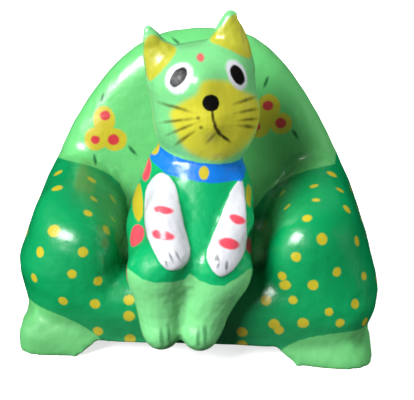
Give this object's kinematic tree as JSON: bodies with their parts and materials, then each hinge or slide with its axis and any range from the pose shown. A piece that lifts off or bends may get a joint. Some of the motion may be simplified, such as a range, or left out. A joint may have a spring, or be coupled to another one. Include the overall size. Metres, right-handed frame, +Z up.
{
  "type": "carved cat on armchair ornament",
  "caption": "Painted wooden cat figure seated on a carved armchair with a high rounded back, broad arms and short feet.",
  "frame": {"origin": "on the ground under the middle of the whole ornament", "axes": "+Z up, +X to the viewer's right seen from the front, the cat and the chair face -Y"},
  "size_m": [0.1248, 0.0952, 0.1166],
  "materials": {
    "armchair_paint": "glossy hand-painted emerald and light green with yellow dots",
    "cat_paint": "glossy hand-painted light green, emerald, yellow and white"
  },
  "bodies": {
    "root": {"armchair": "armchair_paint", "cat": "cat_paint"}
  },
  "joints": []
}
